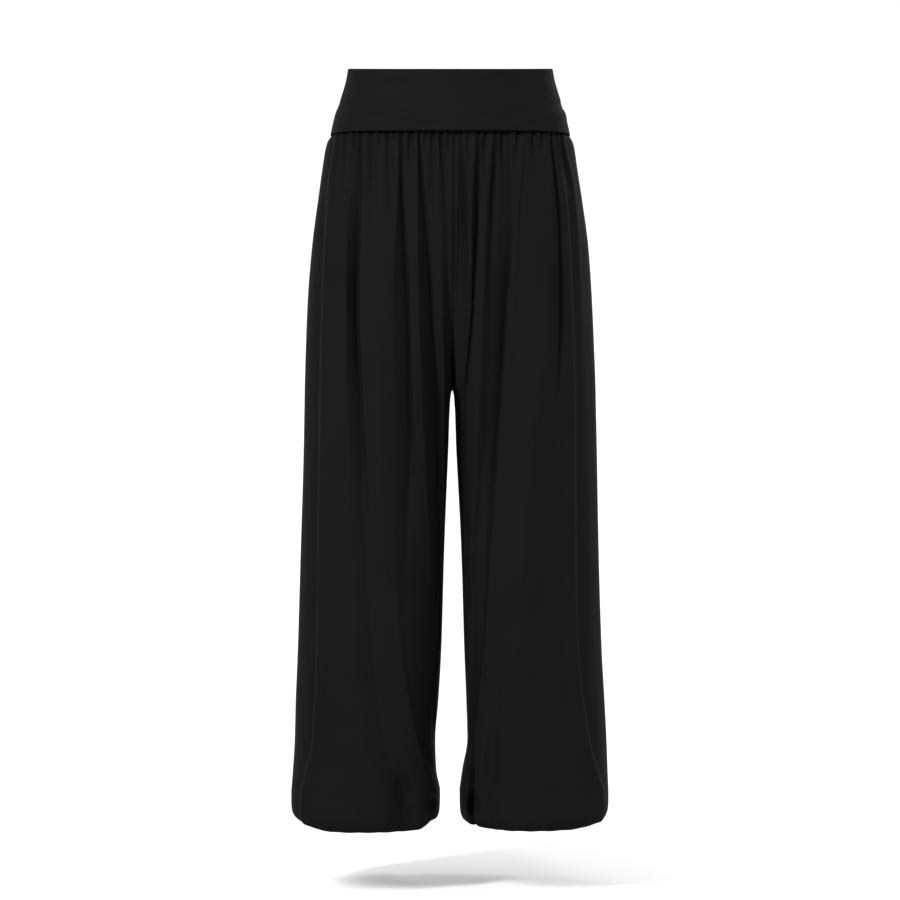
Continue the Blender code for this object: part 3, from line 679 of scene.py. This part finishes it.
class TROUSERS_OT_legs(bpy.types.Operator):
    """Build the four gathered leg pieces"""

    bl_idname = "trousers.legs"
    bl_label = "Leg pieces"

    def execute(self, context):
        settings = context.scene.trouser_legs
        material = jersey("leg_jersey", settings.colour, wales=420, courses=1100, roughness=0.66)
        for side, left in (("left", True), ("right", False)):
            for face, back in (("front", False), ("back", True)):
                form = LegForm(left, back)
                points = form.surface(settings.columns, settings.leg_rows, settings.puff_rows)
                piece = shaped_sheet(f"{face}_{side}_leg", points, settings.cloth, flip=left == back)
                node = f"leg_{face}_{side}"
                finish_cloth(piece, node, material)
        return {"FINISHED"}


def soft_line(across, drop, line, reach):
    """1 on a line of (across, drop) points in mm, fading to 0 at reach from it, and beyond its ends."""
    ends, levels = np.array(line).T
    inside = smooth_step((across - ends[0]) / LINE_END + 0.5)
    inside = inside * smooth_step((ends[-1] - across) / LINE_END + 0.5)
    return inside * math.exp(-(((drop - monotone(ends, levels, across)) / reach) ** 2))


def band_relief(across, drop):
    """How far the flap stands out, in mm: a sagging trough over a soft roll, and two short drag marks."""
    height = -SAG_DEPTH * soft_line(across, drop, SAG_LINE, SAG_REACH)
    height += SAG_ROLL_HEIGHT * soft_line(across, drop - SAG_ROLL_BELOW, SAG_LINE, SAG_ROLL_REACH)
    for line in DRAG_LINES:
        height -= DRAG_DEPTH * soft_line(across, drop, line, DRAG_REACH)
    return height


def band_point(angle, out, drop, back):
    """A point of the band.

    angle: 0 at the left side seam, half a turn at the right; out: distance outside the flap.
    """
    across, deep = math.cos(angle), max(math.sin(angle), 0.0)
    column = 2 if across >= 0 else 1
    side = read_section(BAND_SECTIONS, column, drop)
    depth = read_section(BAND_SECTIONS, 4 if back else 3, drop)
    share = abs(across)
    hip = 1 / (share**OVAL_POWER + deep**OVAL_POWER) ** (1 / OVAL_POWER)
    normal = np.array([across / side, deep / depth])
    normal /= np.linalg.norm(normal)
    x, y = across * hip * side, deep * hip * depth
    if drop < FLAP_EDGE and out > RELIEF_DEPTH:
        out += float(band_relief((-x if back else x) / MM, drop / MM)) * MM
    x, y = x + normal[0] * out, max(y + normal[1] * out, SEAM_HALF)
    low = float(smooth_step((drop - FLAP_LIFT_START) / FLAP_LIFT_LENGTH))
    lift = FLAP_LIFT * (1 - share**FLAP_LIFT_POWER) * low
    lift -= FLAP_SAG * (1 - share**2) * low
    return (x, y if back else -y, -drop + lift - dip(share * hip, drop, back))


def band_path():
    """(out, drop) along the doubled cloth: up the stand, over the fold, down the flap, up again inside."""
    stand, edge = STAND_BOTTOM / MM, FLAP_EDGE / MM
    top_angles = np.linspace(TOP_ROLL_START, math.pi - TOP_ROLL_START, 9)
    path = []
    for s in np.linspace(0, 1, 22):
        path.append((STAND_OUT + STAND_LEAN * s, stand - (stand - TOP_ROLL_HEIGHT) * s))
    for a in top_angles:
        out = -TOP_ROLL_HALF - TOP_ROLL_HALF * math.cos(a)
        path.append((out, TOP_ROLL_HEIGHT - TOP_ROLL_HEIGHT * math.sin(a)))
    for s in np.linspace(0, 1, 50):
        path.append((0.0, TOP_ROLL_HEIGHT + (edge - TOP_ROLL_HEIGHT) * s))
    for a in np.linspace(EDGE_START, math.pi, 6):
        path.append((-EDGE_HALF + EDGE_HALF * math.cos(a), edge + EDGE_HEIGHT * math.sin(a)))
    for s in np.linspace(0.05, 1, 16):
        path.append((-2 * EDGE_HALF, edge - TURNED_UP * s))
    return [(out * MM, drop * MM) for out, drop in path]


class TROUSERS_OT_band(bpy.types.Operator):
    """Build both halves of the fold-over waistband"""

    bl_idname = "trousers.band"
    bl_label = "Waistband"

    def execute(self, context):
        settings = context.scene.trouser_band
        material = jersey("band_jersey", settings.colour, wales=520, courses=260, roughness=0.62)
        angles = np.linspace(0, math.pi, settings.columns + 1)
        for face, back in (("front", False), ("back", True)):
            rows = [[band_point(a, out, drop, back) for a in angles] for out, drop in band_path()]
            points = np.array(rows)
            piece = shaped_sheet(f"{face}_band", points, settings.cloth, flip=not back)
            finish_cloth(piece, f"waistband_{face}", material)
        return {"FINISHED"}


class TROUSERS_OT_hems(bpy.types.Operator):
    """Build the elastic casings at the ends of the legs"""

    bl_idname = "trousers.hems"
    bl_label = "Hem casings"

    def execute(self, context):
        settings = context.scene.trouser_hems
        colour = context.scene.trouser_legs.colour
        material = jersey("casing_jersey", colour, wales=160, courses=40, roughness=0.7)
        middle, half = (CASING_TOP + CASING_BOTTOM) / 2, (CASING_BOTTOM - CASING_TOP) / 2
        for side, left in (("left", True), ("right", False)):
            form = LegForm(left, False)
            deselect()
            bpy.ops.mesh.primitive_torus_add(
                major_segments=settings.crimps * 6, minor_segments=16, major_radius=1.0, minor_radius=0.5
            )
            piece = bpy.context.object
            piece.name = piece.data.name = f"{side}_casing"
            for vertex in piece.data.vertices:
                round_leg = math.atan2(vertex.co.y, vertex.co.x)
                out = (math.hypot(vertex.co.x, vertex.co.y) - 1.0) * 2
                up = vertex.co.z * 2
                crimp = CASING_CRIMP * math.cos(round_leg * settings.crimps) * (0.5 + 0.5 * abs(up))
                boxy_out = math.copysign(abs(out) ** CASING_ROUNDNESS, out)
                reach = CASING_RADIUS - settings.wall / 2 + boxy_out * settings.wall / 2 + crimp
                vertex.co = (
                    form.x_sign * form.ankle_x + reach * math.cos(round_leg),
                    reach * math.sin(round_leg),
                    -middle + math.copysign(abs(up) ** CASING_END_ROUNDNESS, up) * half,
                )
            bpy.ops.object.shade_smooth()
            finish_cloth(piece, f"hem_casing_{side}", material)
        return {"FINISHED"}


def area_light(name, place, aim, size, watts):
    """Adds a rectangular light that looks at a point."""
    bpy.ops.object.light_add(type="AREA", location=place)
    light = bpy.context.object
    light.name = name
    light.data.shape, light.data.size, light.data.size_y, light.data.energy = "RECTANGLE", *size, watts
    way = np.array(aim, float) - np.array(place, float)
    tilt = math.acos(-way[2] / np.linalg.norm(way))
    light.rotation_euler = (tilt, 0, math.atan2(way[1], way[0]) - math.pi / 2)


class TROUSERS_OT_stage(bpy.types.Operator):
    """Build the floor, the backdrop, the lights and the camera"""

    bl_idname = "trousers.stage"
    bl_label = "Stage"

    def execute(self, context):
        settings = context.scene.trouser_stage
        deselect()
        bpy.ops.mesh.primitive_grid_add(x_subdivisions=2, y_subdivisions=60, size=1.0, location=(0, 0, 0))
        floor = bpy.context.object
        floor.name = floor.data.name = "floor_and_backdrop"
        arc = math.pi / 2 * BEND_RADIUS
        for vertex in floor.data.vertices:
            run = (vertex.co.y + 0.5) * FLOOR_LENGTH
            bend = min(max(run - FLOOR_FLAT, 0) / arc, 1) * math.pi / 2
            past = max(run - FLOOR_FLAT - arc, 0)
            back = min(run, FLOOR_FLAT) - FLOOR_FRONT + BEND_RADIUS * math.sin(bend)
            level = FLOOR_LEVEL + BEND_RADIUS * (1 - math.cos(bend)) + past
            vertex.co = (vertex.co.x * FLOOR_LENGTH, back, level)
        bpy.ops.object.shade_smooth()
        floor.data.materials.append(plain("pale_paper", settings.floor_colour, 0.9))
        world = bpy.data.worlds.new("studio")
        world.use_nodes = True
        world.node_tree.nodes["Background"].inputs["Color"].default_value = (1, 1, 1, 1)
        world.node_tree.nodes["Background"].inputs["Strength"].default_value = WORLD_STRENGTH
        context.scene.world = world
        context.scene.view_settings.view_transform = "Standard"
        for light in LIGHTS:
            area_light(*light)
        place = (CAMERA_X, -settings.distance, CAMERA_Z)
        bpy.ops.object.camera_add(location=place, rotation=(math.pi / 2, 0, 0))
        camera = bpy.context.object
        camera.name = "camera"
        camera.data.lens = SENSOR * PIXELS_PER_METRE * settings.distance / PHOTO_PIXELS
        camera.data.sensor_width = SENSOR
        context.scene.camera = camera
        return {"FINISHED"}


class TROUSERS_PT_panel(bpy.types.Panel):
    """Lists the pieces of the trousers"""

    bl_label = "Trousers"
    bl_idname = "TROUSERS_PT_panel"
    bl_space_type = "VIEW_3D"
    bl_region_type = "UI"
    bl_category = "Trousers"

    def draw(self, context):
        for settings, operator in (
            (context.scene.trouser_band, "trousers.band"),
            (context.scene.trouser_legs, "trousers.legs"),
            (context.scene.trouser_hems, "trousers.hems"),
            (context.scene.trouser_stage, "trousers.stage"),
        ):
            box = self.layout.box()
            for name in settings.bl_rna.properties.keys():
                if name not in ("rna_type", "name"):
                    box.prop(settings, name)
            box.operator(operator)


CLASSES = (
    LegSettings,
    BandSettings,
    HemSettings,
    StageSettings,
    TROUSERS_OT_legs,
    TROUSERS_OT_band,
    TROUSERS_OT_hems,
    TROUSERS_OT_stage,
    TROUSERS_PT_panel,
)
SETTINGS = {
    "trouser_legs": LegSettings,
    "trouser_band": BandSettings,
    "trouser_hems": HemSettings,
    "trouser_stage": StageSettings,
}


def register():
    for cls in CLASSES:
        bpy.utils.register_class(cls)
    for name, group in SETTINGS.items():
        setattr(bpy.types.Scene, name, PointerProperty(type=group))


def unregister():
    for name in SETTINGS:
        delattr(bpy.types.Scene, name)
    for cls in reversed(CLASSES):
        bpy.utils.unregister_class(cls)


def main():
    register()
    bpy.ops.trousers.band()
    bpy.ops.trousers.legs()
    bpy.ops.trousers.hems()
    bpy.ops.trousers.stage()


if __name__ == "__main__":
    main()
